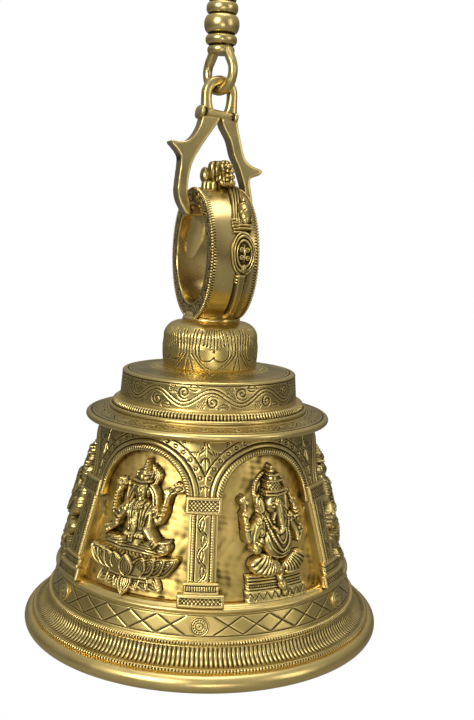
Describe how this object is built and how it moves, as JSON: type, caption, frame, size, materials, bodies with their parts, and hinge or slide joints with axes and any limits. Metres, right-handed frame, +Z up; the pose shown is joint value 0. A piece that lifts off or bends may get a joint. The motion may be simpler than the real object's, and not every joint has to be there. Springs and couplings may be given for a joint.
{
  "type": "temple bell",
  "caption": "Hanging brass temple bell with arched niches and seated figures, a ring on a lotus dome, a barbed yoke, a turned link, a hook and a clapper that all swing.",
  "frame": {"origin": "centre of the hole in the hanging eye", "axes": "+Z up along the bell's axis, X along the axis of the suspension ring, +Y along the hole of the hanging eye"},
  "size_m": [0.203, 0.203, 0.4498],
  "materials": {
    "cast_brass": "antique cast brass, brown patina in the engraving, edges rubbed bright",
    "dark_brass": "unpolished cast brass with a heavy brown patina",
    "link_brass": "polished cast brass with brown patina in the grooves",
    "inner_brass": "dull cast brass",
    "ring_brass": "polished brass"
  },
  "bodies": {
    "hook": {"hanging_hook": "link_brass"},
    "link": {"turned_link": "link_brass"},
    "yoke": {"yoke_strap": "link_brass", "yoke_collar": "dark_brass"},
    "bell": {"suspension_ring": "ring_brass", "ring_crest": "dark_brass", "wheel_emblem_front": "dark_brass", "wheel_emblem_back": "dark_brass", "lotus_dome": "cast_brass", "scroll_drum": "cast_brass", "ribbed_moulding": "cast_brass", "shoulder_flange": "cast_brass", "bell_shell": "cast_brass", "column_shafts": "cast_brass", "column_capitals": "cast_brass", "column_bases": "cast_brass", "arch_mouldings": "cast_brass", "goddess_reliefs": "dark_brass", "lotus_seats": "dark_brass", "elephant_reliefs": "dark_brass", "stepped_seats": "dark_brass", "band_rosettes": "cast_brass", "centre_bolt": "inner_brass", "crown_washer": "inner_brass", "crown_nut": "inner_brass"},
    "clapper": {"clapper_rod": "inner_brass", "clapper_ball": "inner_brass", "clapper_tip": "inner_brass"}
  },
  "joints": [
    {"name": "link_swing", "type": "hinge", "parent": "hook", "child": "link", "pos_m": [0, 0, -0.0366], "axis": [0.9135, 0.4067, 0], "range_deg": [-25, 25]},
    {"name": "yoke_swing", "type": "hinge", "parent": "link", "child": "yoke", "pos_m": [0, 0, -0.1364], "axis": [0.4067, -0.9135, 0], "range_deg": [-20, 20]},
    {"name": "bell_swing", "type": "hinge", "parent": "yoke", "child": "bell", "pos_m": [0, 0, -0.2018], "axis": [1, 0, 0], "range_deg": [-30, 30]},
    {"name": "clapper_swing", "type": "hinge", "parent": "bell", "child": "clapper", "pos_m": [0, 0, -0.3483], "axis": [1, 0, 0], "range_deg": [-47, 47]}
  ]
}
